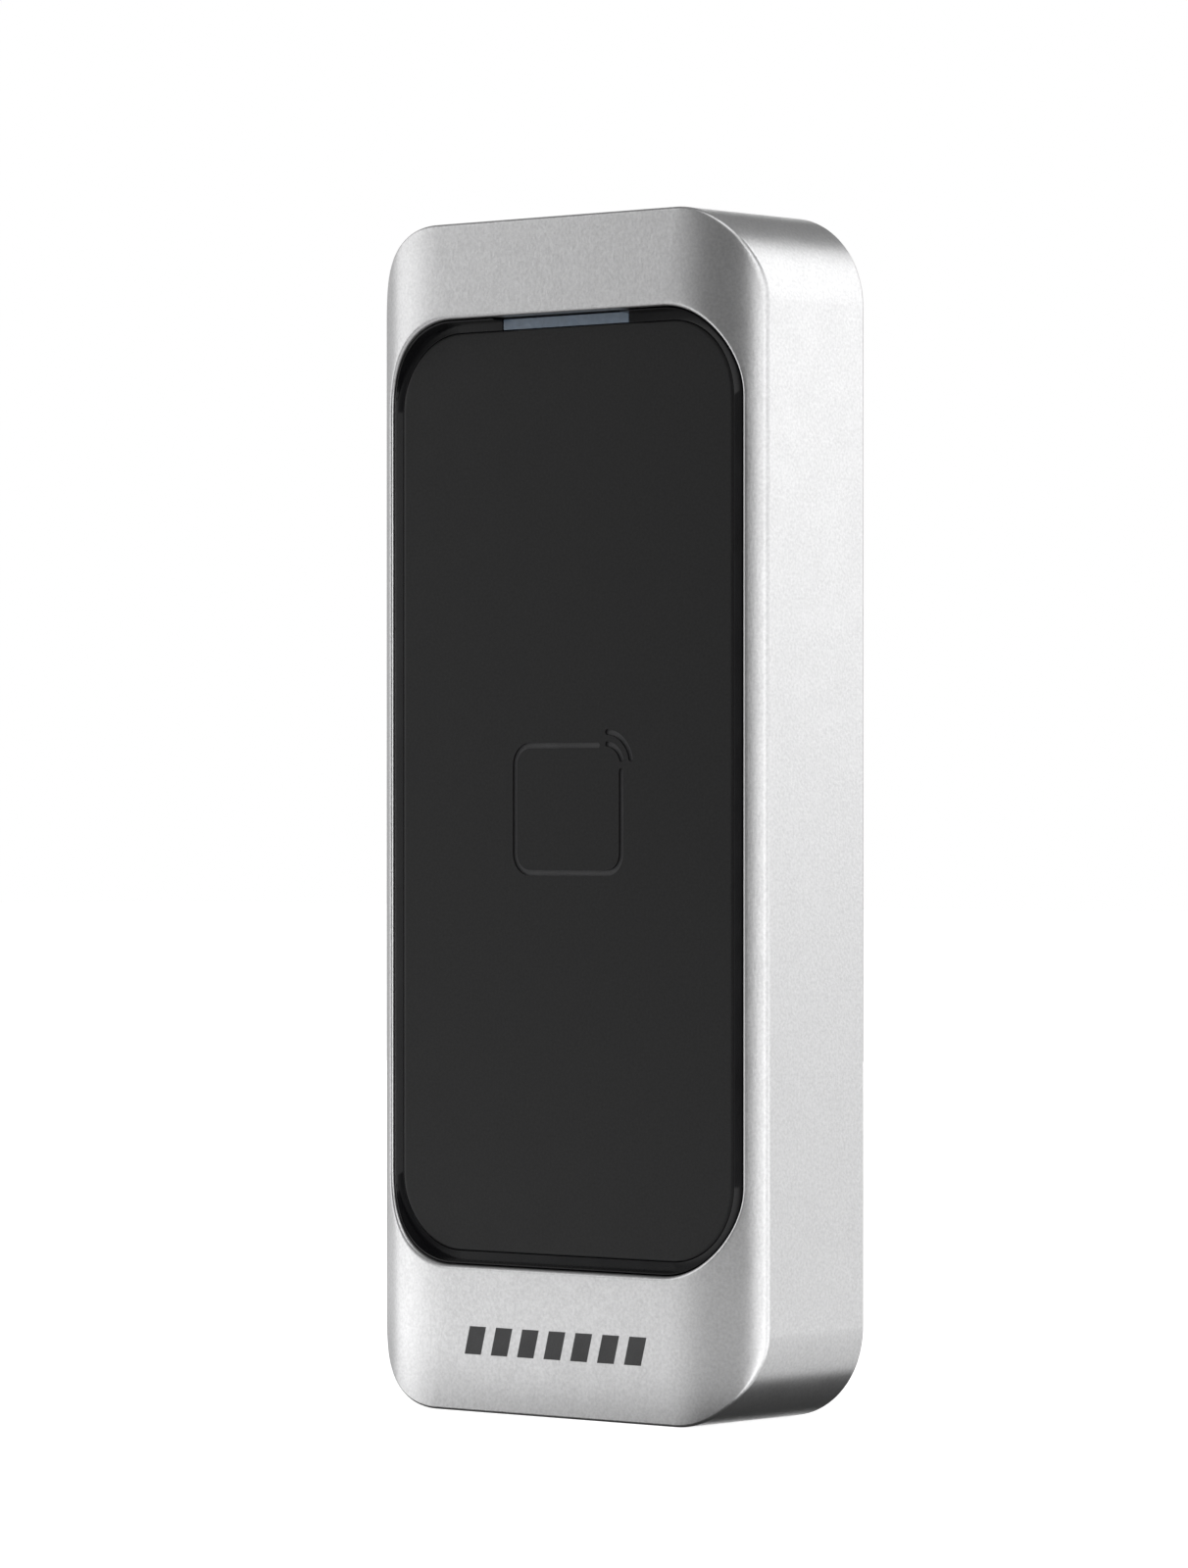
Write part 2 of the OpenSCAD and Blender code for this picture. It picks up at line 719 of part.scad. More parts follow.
wall_plate();
lock_screw();
front_bezel();
inner_housing();
window_panel();
panel_adhesive();
light_guide();
main_board();
antenna_coil();
status_leds();
rf_chip();
controller_chip();
controller_pins();
line_driver_chip();
line_driver_pins();
voltage_regulator();
power_inductor();
bulk_capacitors();
surge_diodes();
crystals();
chip_components();
buzzer();
harness_socket();
harness_pins();
dip_switch_body();
dip_slider(0);  // dip_slider_1
dip_slider(1);  // dip_slider_2
dip_slider(2);  // dip_slider_3
dip_slider(3);  // dip_slider_4
tamper_switch_body();
tamper_plunger();
tamper_spring();
cable_grommet();
housing_gasket();
rear_cover();
cover_screws();
board_screws();
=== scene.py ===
"""Looks of a slim upright RFID card reader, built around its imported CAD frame.

Row frame, in metres: +Z is up, the wall is the plane y = 0 and the reader's front faces -Y.
Positions and overall sizes come from the frame's boxes. The named sizes below are details
that the boxes don't give. The big visible shells are lofted from rings of points, so that
their arched front and their small round edges are smooth; the other pieces are copies of
their CAD nodes with their edges softened.
"""

import json
import math

import bmesh
import bpy
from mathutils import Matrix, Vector


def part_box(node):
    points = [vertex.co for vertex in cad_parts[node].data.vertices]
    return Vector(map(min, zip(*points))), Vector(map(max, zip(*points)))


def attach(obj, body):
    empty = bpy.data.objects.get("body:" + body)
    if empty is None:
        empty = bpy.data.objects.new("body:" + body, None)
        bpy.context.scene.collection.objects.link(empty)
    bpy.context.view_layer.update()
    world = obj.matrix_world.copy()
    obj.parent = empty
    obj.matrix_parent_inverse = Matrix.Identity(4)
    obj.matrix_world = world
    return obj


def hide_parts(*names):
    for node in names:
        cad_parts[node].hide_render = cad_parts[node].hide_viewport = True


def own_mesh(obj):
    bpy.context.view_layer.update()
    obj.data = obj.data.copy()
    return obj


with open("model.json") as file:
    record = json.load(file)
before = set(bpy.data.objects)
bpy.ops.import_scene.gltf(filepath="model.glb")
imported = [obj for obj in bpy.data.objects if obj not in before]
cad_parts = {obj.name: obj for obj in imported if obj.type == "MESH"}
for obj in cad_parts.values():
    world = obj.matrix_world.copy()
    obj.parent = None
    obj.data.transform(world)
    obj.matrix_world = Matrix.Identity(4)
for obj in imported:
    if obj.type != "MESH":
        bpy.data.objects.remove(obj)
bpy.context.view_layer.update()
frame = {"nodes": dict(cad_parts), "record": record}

MM = 0.001

# ---- the case, in metres ----
CASE_LOW, CASE_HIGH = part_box("front_bezel")
CASE_W = CASE_HIGH.x - CASE_LOW.x
CASE_H = CASE_HIGH.z - CASE_LOW.z
FRONT_Y = CASE_LOW.y
RIM_Y = CASE_HIGH.y
CORNER_R = 9.8 * MM
ARCH_START = 13 * MM  # where the front begins to bend back, from the middle
ARCH_DROP = 3.168 * MM  # how far it has bent back at the side
ARCH_POWER = 4.24
EDGE_R = 0.32 * MM
REAR_EDGE_R = 0.3 * MM

# ---- the window ----
WINDOW_W, WINDOW_H, WINDOW_R = 48.2 * MM, 99.6 * MM, 9.5 * MM
WINDOW_Z = 2.65 * MM
LIP_R = 0.5 * MM
RING_GAP = 0.17 * MM
RING_W = 1.2 * MM
RING_DEPTH = 1.95 * MM
RING_INNER_R = 0.08 * MM
RING_RIM_T, RING_RIM_DEPTH = 0.25 * MM, 0.5 * MM  # thin rim that lines the opening
SKIRT_T = 1.4 * MM
TRAY_GAP, TRAY_T = 0.15 * MM, 1.2 * MM  # the floor behind the panel
POSTS_MM, POST_R = ((-16, 46.6), (16, 46.6), (-14, -38), (14, -38)), 2.3 * MM
POST_ROOT = 0.2 * MM  # how far a post reaches into the tray
SLOT_SIDE_GAP, SLOT_REAR_GAP, SLOT_BELOW = 0.08 * MM, 0.3 * MM, 0.4 * MM  # light bar's slot
PANEL_GAP = 0.05 * MM
PANEL_LOW, PANEL_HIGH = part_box("window_panel")
PANEL_EDGE_W, PANEL_EDGE_D = 0.4 * MM, 0.1 * MM  # round edge: inwards and rearwards

# ---- the engraved icon ----
ICON_W, ICON_H, ICON_R = 14.6 * MM, 13.3 * MM, 2.05 * MM
ICON_X, ICON_Z = 0.38 * MM, 0.8 * MM
ICON_GAP, ICON_LINE, GROOVE_DEPTH = 0.95 * MM, 0.6 * MM, 0.22 * MM
WAVES = [(0.1 * MM, 16, 85), (1.35 * MM, 11, 87)]  # outside the corner, and their angles

# ---- the seats behind the bezel ----
HOUSING_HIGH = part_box("inner_housing")[1]
COVER_LOW, COVER_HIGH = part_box("rear_cover")
PLATE_LOW, PLATE_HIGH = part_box("wall_plate")
PLATE_TOP_Z = 57.8 * MM
COVER_R, PLATE_R = 4 * MM, 5 * MM
SEAT_GAP, PLATE_GAP = 0.2 * MM, 0.5 * MM
FLANGE_T = 1.4 * MM
PLATE_SEAT_Y = -1.5 * MM
POCKET_W = 34 * MM
POCKET_FRONT_Y = FRONT_Y + 2.7 * MM
TOP_POCKET_Z = (54.2 * MM, 60.3 * MM)
LOW_POCKET_Z = (-60.2 * MM, -52.0 * MM)
PIVOT_Y, PIVOT_Z, PIVOT_R = -2.3 * MM, 58.65 * MM, 0.8 * MM
RAIL_ROOT = 0.2 * MM  # how far the rail reaches into the case above it
SHANK_SLOT_R, HEAD_SLOT_R = 1.8 * MM, 3.2 * MM
HEAD_SLOT_DEPTH = 1.3 * MM

# ---- the printed blocks on the lower chin ----
PRINT_COUNT, PRINT_FILL = 7, 0.62  # blocks, and the share of their pitch that they fill
PRINT_LEFT, PRINT_RIGHT = -13.0 * MM, 13.4 * MM
PRINT_LOW_Z, PRINT_HIGH_Z, PRINT_SLANT = -56.45 * MM, -53.5 * MM, 0.75 * MM
PRINT_PROUD, PRINT_SUNK = 0.012 * MM, 0.02 * MM

# ---- the tamper spring ----
WIRE_R = 0.16 * MM

# ---- the floor ----
FLOOR_HALF = 3.0
FLOOR_GAP = 0.02 * MM  # below the case
GLOW_HEIGHT = 0.5 * MM  # of the table glows, above the case's bottom

# ---- mesh steps and shading ----
CORNER_STEPS = 28
SIDE_STEPS = 6
FRONT_STEPS = 14
SHELL_SHARP = 36  # degrees: a lofted shell's edges above this stay crisp
SAME_PLANE = 0.01 * MM

KEEP_AWAY = 1 * MM  # how far a cutter runs past the surface that it cuts


# ---- meshes ----


def add_mesh(name, points, faces):
    mesh = bpy.data.meshes.new(name)
    mesh.from_pydata([tuple(p) for p in points], [], faces)
    mesh.validate()
    bm = bmesh.new()
    bm.from_mesh(mesh)
    bmesh.ops.recalc_face_normals(bm, faces=bm.faces)
    bm.to_mesh(mesh)
    bm.free()
    piece = bpy.data.objects.new(name, mesh)
    bpy.context.collection.objects.link(piece)
    return piece


def outline(w, h, r, z=0.0, grow=0.0):
    """Points (x, z) of a rectangle with round corners, going round from its right side."""
    w, h, r = w + 2 * grow, h + 2 * grow, r + grow
    centres = [(1, 1), (-1, 1), (-1, -1), (1, -1)]
    points = []
    for index, (sx, sz) in enumerate(centres):
        cx, cz = sx * (w / 2 - r), sz * (h / 2 - r)
        arc = []
        for step in range(CORNER_STEPS + 1):
            angle = math.radians(90 * (index + step / CORNER_STEPS))
            arc.append((cx + r * math.cos(angle), cz + r * math.sin(angle)))
        if points:
            points += between(points[-1], arc[0])
        points += arc
    points += between(points[-1], points[0])
    return [(x, z + pz) for x, pz in points]


def between(a, b):
    """The inner points of a straight side, from a to b."""
    shares = [step / SIDE_STEPS for step in range(1, SIDE_STEPS)]
    return [(a[0] + (b[0] - a[0]) * t, a[1] + (b[1] - a[1]) * t) for t in shares]


def arch_drop(x):
    """How far the arched front lies behind its flat middle at x."""
    over = max(0.0, abs(x) - ARCH_START) / (CASE_W / 2 - ARCH_START)
    return ARCH_DROP * over**ARCH_POWER


def flat_ring(points, y):
    return [Vector((x, y, z)) for x, z in points]


def arched_ring(points, below):
    """A ring that follows the arched front, a given depth below it."""
    return [Vector((x, FRONT_Y + arch_drop(x) + below, z)) for x, z in points]


def loft(name, rings, closed=False):
    """Skin over rings of equally many points. An open loft is capped at both ends."""
    count = len(rings[0])
    points = [p for ring in rings for p in ring]
    pairs = [(i, i + 1) for i in range(len(rings) - 1)]
    if closed:
        pairs.append((len(rings) - 1, 0))
    faces = []
    for a, b in pairs:
        for i in range(count):
            j = (i + 1) % count
            faces.append((a * count + i, a * count + j, b * count + j, b * count + i))
    if not closed:
        faces.append(tuple(range(count)))
        faces.append(tuple(range((len(rings) - 1) * count, len(rings) * count)))
    return add_mesh(name, points, faces)


def prism(name, profile, axis, low, high):
    """Solid of a closed 2-D profile, drawn along an axis between two places."""
    at_axis = {
        "x": lambda a, b, at: (at, a, b),
        "y": lambda a, b, at: (a, at, b),
        "z": lambda a, b, at: (a, b, at),
    }[axis]
    count = len(profile)
    points = [at_axis(a, b, at) for at in (low, high) for a, b in profile]
    faces = [(i, (i + 1) % count, (i + 1) % count + count, i + count) for i in range(count)]
    faces += [tuple(range(count)), tuple(range(count, 2 * count))]
    return add_mesh(name, points, faces)


def block(name, low, high):
    profile = [(low[0], low[2]), (high[0], low[2]), (high[0], high[2]), (low[0], high[2])]
    return prism(name, profile, "y", low[1], high[1])


def round_profile(cx, cy, r, start=0.0, sweep=360.0, steps=40):
    """Points along an arc, leaving out the last where the arc is a whole circle."""
    last = steps if sweep < 360 else steps - 1
    angles = [math.radians(start + sweep * i / steps) for i in range(last + 1)]
    return [(cx + r * math.cos(a), cy + r * math.sin(a)) for a in angles]


def combine(piece, operation, tools):
    """Cuts tools out of a piece, or joins them to it, and removes the tools."""
    for tool in tools:
        modifier = piece.modifiers.new(operation, "BOOLEAN")
        modifier.operation = operation
        modifier.solver = "EXACT"
        modifier.object = tool
    apply_modifiers(piece)
    for tool in tools:
        bpy.data.objects.remove(tool)


def apply_modifiers(piece):
    graph = bpy.context.evaluated_depsgraph_get()
    made = bpy.data.meshes.new_from_object(piece.evaluated_get(graph))
    piece.modifiers.clear()
    piece.data = made


def smooth(piece, angle=40):
    """Smooth shading that keeps flat faces flat and edges sharper than the angle crisp."""
    bm = bmesh.new()
    bm.from_mesh(piece.data)
    for face in bm.faces:
        face.smooth = True
    for edge in bm.edges:
        bend = edge.calc_face_angle(math.pi)
        edge.smooth = bend < math.radians(angle)
    bm.to_mesh(piece.data)
    bm.free()
    modifier = piece.modifiers.new("weighted", "WEIGHTED_NORMAL")
    modifier.keep_sharp = True
    modifier.weight = 100
    apply_modifiers(piece)


def softened(node, width, steps=2, sharp=32):
    """Copy of a CAD node with merged flat faces and round edges, which stands for the node."""
    source = frame["nodes"][node]
    piece = bpy.data.objects.new(node + "_soft", source.data.copy())
    bpy.context.collection.objects.link(piece)
    piece.data.materials.clear()
    bm = bmesh.new()
    bm.from_mesh(piece.data)
    bmesh.ops.remove_doubles(bm, verts=bm.verts, dist=0.5e-6)
    bmesh.ops.dissolve_limit(
        bm, angle_limit=math.radians(0.6), verts=bm.verts, edges=bm.edges
    )
    bm.to_mesh(piece.data)
    bm.free()
    modifier = piece.modifiers.new("bevel", "BEVEL")
    modifier.width = width
    modifier.segments = steps
    modifier.limit_method = "ANGLE"
    modifier.angle_limit = math.radians(sharp)
    modifier.miter_outer = "MITER_ARC"
    apply_modifiers(piece)
    smooth(piece, sharp)
    return piece


def place(piece, node, material):
    """Gives a piece its material, slot and body, and lets it stand for its CAD node."""
    piece.data.materials.clear()
    piece.data.materials.append(material)
    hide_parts(node)
    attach(piece, BODY_OF[node])


BODY_OF = {
    node: body
    for body, nodes in frame["record"]["behaviour"]["bodies"].items()
    for node in nodes
}


# ---- materials ----


def new_material(name):
    material = bpy.data.materials.new(name)
    material.use_nodes = True
    nodes = material.node_tree.nodes
    nodes.clear()
    out = nodes.new("ShaderNodeOutputMaterial")
    shader = nodes.new("ShaderNodeBsdfPrincipled")
    material.node_tree.links.new(shader.outputs["BSDF"], out.inputs["Surface"])
    return material, shader


def noise(material, scale, detail=2.0, stretch=(1, 1, 1)):
    """Noise in the frame's own metres; scale is lumps per metre."""
    nodes, links = material.node_tree.nodes, material.node_tree.links
    where = nodes.new("ShaderNodeTexCoord")
    mapping = nodes.new("ShaderNodeMapping")
    mapping.inputs["Scale"].default_value = stretch
    texture = nodes.new("ShaderNodeTexNoise")
    texture.inputs["Scale"].default_value = scale
    texture.inputs["Detail"].default_value = detail
    links.new(where.outputs["Object"], mapping.inputs["Vector"])
    links.new(mapping.outputs["Vector"], texture.inputs["Vector"])
    return texture.outputs["Fac"]


def spread(material, value, low, high):
    """Turns a noise value into a number between low and high."""
    node = material.node_tree.nodes.new("ShaderNodeMapRange")
    node.inputs["From Min"].default_value = 0.3
    node.inputs["From Max"].default_value = 0.7
    node.inputs["To Min"].default_value = low
    node.inputs["To Max"].default_value = high
    material.node_tree.links.new(value, node.inputs["Value"])
    return node.outputs["Result"]


def tint(material, value, dark, light):
    """Colour that goes from dark to light with a noise value."""
    node = material.node_tree.nodes.new("ShaderNodeValToRGB")
    node.color_ramp.elements[0].position = 0.3
    node.color_ramp.elements[0].color = (*dark, 1)
    node.color_ramp.elements[1].position = 0.7
    node.color_ramp.elements[1].color = (*light, 1)
    material.node_tree.links.new(value, node.inputs["Fac"])
    return node.outputs["Color"]


def bump(material, shader, value, height, strength=1.0):
    node = material.node_tree.nodes.new("ShaderNodeBump")
    node.inputs["Strength"].default_value = strength
    node.inputs["Distance"].default_value = height
    material.node_tree.links.new(value, node.inputs["Height"])
    material.node_tree.links.new(node.outputs["Normal"], shader.inputs["Normal"])


def surface(
    name,
    colour,
    roughness,
    metallic=0.0,
    variation=0.08,
    rough_variation=0.05,
    grain=4000,
    grain_height=0.004 * MM,
    stretch=(1, 1, 1),
    coat=0.0,
    specular=0.5,
):
    """Material whose colour, roughness and height vary with a fine grain."""
    material, shader = new_material(name)
    fine = noise(material, grain, 3.0, stretch)
    broad = noise(material, grain / 12, 2.0, stretch)
    dark = [c * (1 - variation) for c in colour]
    light = [min(1.0, c * (1 + variation)) for c in colour]
    links = material.node_tree.links
    links.new(tint(material, fine, dark, light), shader.inputs["Base Color"])
    rough = spread(material, broad, roughness - rough_variation, roughness + rough_variation)
    links.new(rough, shader.inputs["Roughness"])
    bump(material, shader, fine, grain_height)
    shader.inputs["Metallic"].default_value = metallic
    shader.inputs["Coat Weight"].default_value = coat
    shader.inputs["Coat Roughness"].default_value = 0.12
    shader.inputs["Specular IOR Level"].default_value = specular
    return material


MATERIALS = {
    "silver_paint": surface(
        "silver_paint", (0.66, 0.66, 0.665), 0.34, metallic=0.92, variation=0.09,
        rough_variation=0.02, grain=3200, grain_height=0.0105 * MM,
    ),
    "gloss_black": surface(
        "gloss_black", (0.008, 0.008, 0.009), 0.16, variation=0.1, rough_variation=0.03,
        grain=2500, grain_height=0.0008 * MM, specular=0.22,
    ),
    "satin_black": surface(
        "satin_black", (0.011, 0.011, 0.0115), 0.42, variation=0.25, rough_variation=0.03,
        grain=3800, grain_height=0.006 * MM, specular=0.24,
    ),
    "light_guide": surface(
        "light_guide", (0.155, 0.205, 0.27), 0.28, variation=0.12, rough_variation=0.04,
        grain=1500, grain_height=0.002 * MM, coat=0.4,
    ),
    "zinc_steel": surface(
        "zinc_steel", (0.56, 0.57, 0.59), 0.33, metallic=1.0, variation=0.06,
        rough_variation=0.07, grain=2600, grain_height=0.003 * MM, stretch=(1, 1, 0.06),
    ),
    "screw_steel": surface(
        "screw_steel", (0.6, 0.61, 0.62), 0.27, metallic=1.0, grain=5000,
        grain_height=0.002 * MM,
    ),
    "adhesive": surface("adhesive", (0.62, 0.62, 0.58), 0.7),
    "circuit_board": surface(
        "circuit_board", (0.012, 0.085, 0.04), 0.32, variation=0.25, grain=1800, coat=0.3,
    ),
    "copper": surface("copper", (0.66, 0.36, 0.16), 0.35, metallic=1.0),
    "led_white": surface("led_white", (0.82, 0.8, 0.66), 0.25, coat=0.5),
    "chip_black": surface(
        "chip_black", (0.018, 0.018, 0.02), 0.6, variation=0.2, grain=7000,
        grain_height=0.008 * MM,
    ),
    "tinned": surface("tinned", (0.66, 0.66, 0.67), 0.3, metallic=1.0),
    "ferrite": surface("ferrite", (0.03, 0.03, 0.033), 0.65, variation=0.25),
    "capacitor_can": surface(
        "capacitor_can", (0.68, 0.69, 0.71), 0.26, metallic=1.0, stretch=(1, 0.1, 1),
    ),
    "crystal_can": surface("crystal_can", (0.66, 0.64, 0.58), 0.3, metallic=1.0),
    "chip_ceramic": surface("chip_ceramic", (0.32, 0.22, 0.12), 0.5, variation=0.2),
    "connector_white": surface("connector_white", (0.76, 0.73, 0.62), 0.45),
    "gold_pins": surface("gold_pins", (0.75, 0.54, 0.19), 0.25, metallic=1.0),
    "dip_blue": surface("dip_blue", (0.02, 0.06, 0.26), 0.42, grain_height=0.005 * MM),
    "dip_white": surface("dip_white", (0.82, 0.82, 0.79), 0.4),
    "plunger_white": surface("plunger_white", (0.76, 0.76, 0.71), 0.3),
    "spring_steel": surface("spring_steel", (0.5, 0.5, 0.52), 0.25, metallic=1.0),
    "rubber_black": surface(
        "rubber_black", (0.014, 0.014, 0.014), 0.68, grain=5000, grain_height=0.006 * MM,
    ),
    "rubber_grey": surface("rubber_grey", (0.035, 0.035, 0.037), 0.7),
    "moulded_black": surface(
        "moulded_black", (0.02, 0.02, 0.021), 0.55, variation=0.15, grain=3600,
        grain_height=0.02 * MM,
    ),
    "groove_black": surface(
        "groove_black", (0.045, 0.045, 0.047), 0.6, variation=0.12, grain=5200,
        grain_height=0.004 * MM,
    ),
    "print_ink": surface(
        "print_ink", (0.055, 0.055, 0.057), 0.5, variation=0.12, grain=6500,
        grain_height=0.006 * MM,
    ),
}


# ---- the bezel ----


def quarter(steps):
    """Angles of a quarter turn, in radians, with both ends."""
    return [math.pi / 2 * i / steps for i in range(steps + 1)]


def window_outline(grow):
    return outline(WINDOW_W, WINDOW_H, WINDOW_R, WINDOW_Z, grow)


def case_outline(grow):
    return outline(CASE_W, CASE_H, CORNER_R, 0.0, grow)


def cover_outline(grow):
    height = COVER_HIGH.z - COVER_LOW.z
    middle = (COVER_HIGH.z + COVER_LOW.z) / 2
    return outline(COVER_HIGH.x - COVER_LOW.x, height, COVER_R, middle, grow)


def plate_outline(grow):
    middle = (PLATE_TOP_Z + PLATE_LOW.z) / 2
    width = PLATE_HIGH.x - PLATE_LOW.x
    return outline(width, PLATE_TOP_Z - PLATE_LOW.z, PLATE_R, middle, grow)


def mix(a, b, share):
    return [(p[0] + (q[0] - p[0]) * share, p[1] + (q[1] - p[1]) * share) for p, q in zip(a, b)]


def bezel_rings():
    """The bezel's section, from the opening over the front and the side to the rear seats."""
    flange_y = HOUSING_HIGH.y - FLANGE_T
    rings = [flat_ring(window_outline(0), flange_y)]
    for a in quarter(8):
        rings.append(
            arched_ring(window_outline(LIP_R * (1 - math.cos(a))), LIP_R * (1 - math.sin(a)))
        )
    lip, edge = window_outline(LIP_R), case_outline(-EDGE_R)
    for step in range(1, FRONT_STEPS):
        rings.append(arched_ring(mix(lip, edge, step / FRONT_STEPS), 0))
    for a in quarter(4):
        rings.append(
            arched_ring(case_outline(-EDGE_R * (1 - math.sin(a))), EDGE_R * (1 - math.cos(a)))
        )
    for a in quarter(3):
        grow = -REAR_EDGE_R * (1 - math.cos(a))
        rings.append(flat_ring(case_outline(grow), RIM_Y - REAR_EDGE_R * (1 - math.sin(a))))
    rings.append(flat_ring(plate_outline(PLATE_GAP), RIM_Y))
    rings.append(flat_ring(plate_outline(PLATE_GAP), PLATE_SEAT_Y))
    rings.append(flat_ring(cover_outline(SEAT_GAP), PLATE_SEAT_Y))
    rings.append(flat_ring(cover_outline(SEAT_GAP), flange_y))
    return rings


def pocket(name, z_range):
    """Cutter for a pocket that is open to the wall."""
    return block(
        name,
        (-POCKET_W / 2, POCKET_FRONT_Y, z_range[0]),
        (POCKET_W / 2, KEEP_AWAY, z_range[1]),
    )


def screw_slot(name, r, low, high):
    """Cutter for the locking screw: round at its front end and open to the wall."""
    screw_low, screw_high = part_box("lock_screw")
    y = (screw_low.y + screw_high.y) / 2
    profile = round_profile(0, y, r, 180, 180, 24) + [(r, KEEP_AWAY), (-r, KEEP_AWAY)]
    return prism(name, profile, "z", low, high)


def hinge_rail():
    """Bar across the top pocket, round below, that hangs on the wall plate's hooks."""
    profile = round_profile(PIVOT_Y, PIVOT_Z, PIVOT_R, 180, 180, 20)
    top = TOP_POCKET_Z[1] + RAIL_ROOT
    profile += [(PIVOT_Y + PIVOT_R, top), (PIVOT_Y - PIVOT_R, top)]
    half = POCKET_W / 2 + KEEP_AWAY
    return prism("rail", profile, "x", -half, half)


def make_bezel():
    piece = loft("front_bezel_shell", bezel_rings(), closed=True)
    below = CASE_LOW.z - KEEP_AWAY
    combine(
        piece,
        "DIFFERENCE",
        [
            pocket("top_pocket", TOP_POCKET_Z),
            pocket("low_pocket", LOW_POCKET_Z),
            screw_slot("shank_slot", SHANK_SLOT_R, below, LOW_POCKET_Z[0] + KEEP_AWAY),
            screw_slot("head_slot", HEAD_SLOT_R, below, CASE_LOW.z + HEAD_SLOT_DEPTH),
        ],
    )
    combine(piece, "UNION", [hinge_rail()])
    smooth(piece, SHELL_SHARP)
    place(piece, "front_bezel", MATERIALS["silver_paint"])


# ---- the black module ----


def make_housing():
    """The black module: its ring round the panel, the tray behind it and the rear flange."""

    def ring(grow):
        return window_outline(grow - RING_GAP)

    inner = -RING_W
    ring_y = FRONT_Y + RING_DEPTH
    flange_y = HOUSING_HIGH.y - FLANGE_T
    tray_y = PANEL_HIGH.y + TRAY_GAP
    tray_rear_y = tray_y + TRAY_T
    rings = [flat_ring(ring(inner), tray_y)]
    for a in quarter(4):
        rings.append(
            flat_ring(
                ring(inner + RING_INNER_R * (1 - math.cos(a))),
                ring_y + RING_INNER_R * (1 - math.sin(a)),
            )
        )
    rings.append(flat_ring(ring(-RING_RIM_T), ring_y))
    rings.append(arched_ring(ring(-RING_RIM_T / 2), RING_RIM_DEPTH))
    rings.append(arched_ring(ring(0), RING_RIM_DEPTH))
    rings.append(flat_ring(ring(0), flange_y))
    rings.append(flat_ring(cover_outline(0), flange_y))
    rings.append(flat_ring(cover_outline(0), HOUSING_HIGH.y))
    rings.append(flat_ring(ring(-SKIRT_T), HOUSING_HIGH.y))
    rings.append(flat_ring(ring(-SKIRT_T), tray_rear_y))
    piece = loft("inner_housing_shell", rings)
    guide_low, guide_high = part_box("light_guide")
    slot_low = (guide_low.x - SLOT_SIDE_GAP, FRONT_Y - KEEP_AWAY, PANEL_HIGH.z - SLOT_BELOW)
    slot_high = (
        guide_high.x + SLOT_SIDE_GAP,
        guide_high.y + SLOT_REAR_GAP,
        guide_high.z + KEEP_AWAY,
    )
    combine(piece, "DIFFERENCE", [block("light_slot", slot_low, slot_high)])
    board_low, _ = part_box("main_board")
    root_y = tray_rear_y - POST_ROOT
    posts = [
        prism("post", round_profile(x * MM, z * MM, POST_R), "y", root_y, board_low.y)
        for x, z in POSTS_MM
    ]
    combine(piece, "UNION", posts)
    smooth(piece, SHELL_SHARP)
    place(piece, "inner_housing", MATERIALS["gloss_black"])


def arc(cx, cz, r, start, end, steps=24):
    angles = [math.radians(start + (end - start) * i / steps) for i in range(steps + 1)]
    return [(cx + r * math.cos(a), cz + r * math.sin(a)) for a in angles]


def stroke(line, width):
    """Outline of a line of constant width with round ends."""
    half = width / 2
    left, right = [], []
    for i, (x, z) in enumerate(line):
        before, after = line[max(i - 1, 0)], line[min(i + 1, len(line) - 1)]
        dx, dz = after[0] - before[0], after[1] - before[1]
        length = math.hypot(dx, dz)
        nx, nz = -dz / length * half, dx / length * half
        left.append((x + nx, z + nz))
        right.append((x - nx, z - nz))
    turn_end = math.degrees(math.atan2(left[-1][1] - line[-1][1], left[-1][0] - line[-1][0]))
    turn_start = math.degrees(math.atan2(right[0][1] - line[0][1], right[0][0] - line[0][0]))
    cap_end = arc(*line[-1], half, turn_end, turn_end - 180, 10)[1:-1]
    cap_start = arc(*line[0], half, turn_start, turn_start - 180, 10)[1:-1]
    return left + cap_end + right[::-1] + cap_start


def icon_lines():
    """Centre lines of the card's outline and of the two waves at its top right corner."""
    x, z, r = ICON_W / 2 - ICON_R, ICON_H / 2 - ICON_R, ICON_R
    card = [(x - ICON_GAP - ICON_LINE / 3, z + r)]
    card += arc(-x, z, r, 90, 180) + arc(-x, -z, r, 180, 270) + arc(x, -z, r, 270, 360)
    card.append((x + r, z - ICON_GAP / 2 - ICON_LINE / 3))
    lines = [card] + [arc(x, z, r + out, start, end) for out, start, end in WAVES]
    return [[(ICON_X + px, ICON_Z + pz) for px, pz in line] for line in lines]


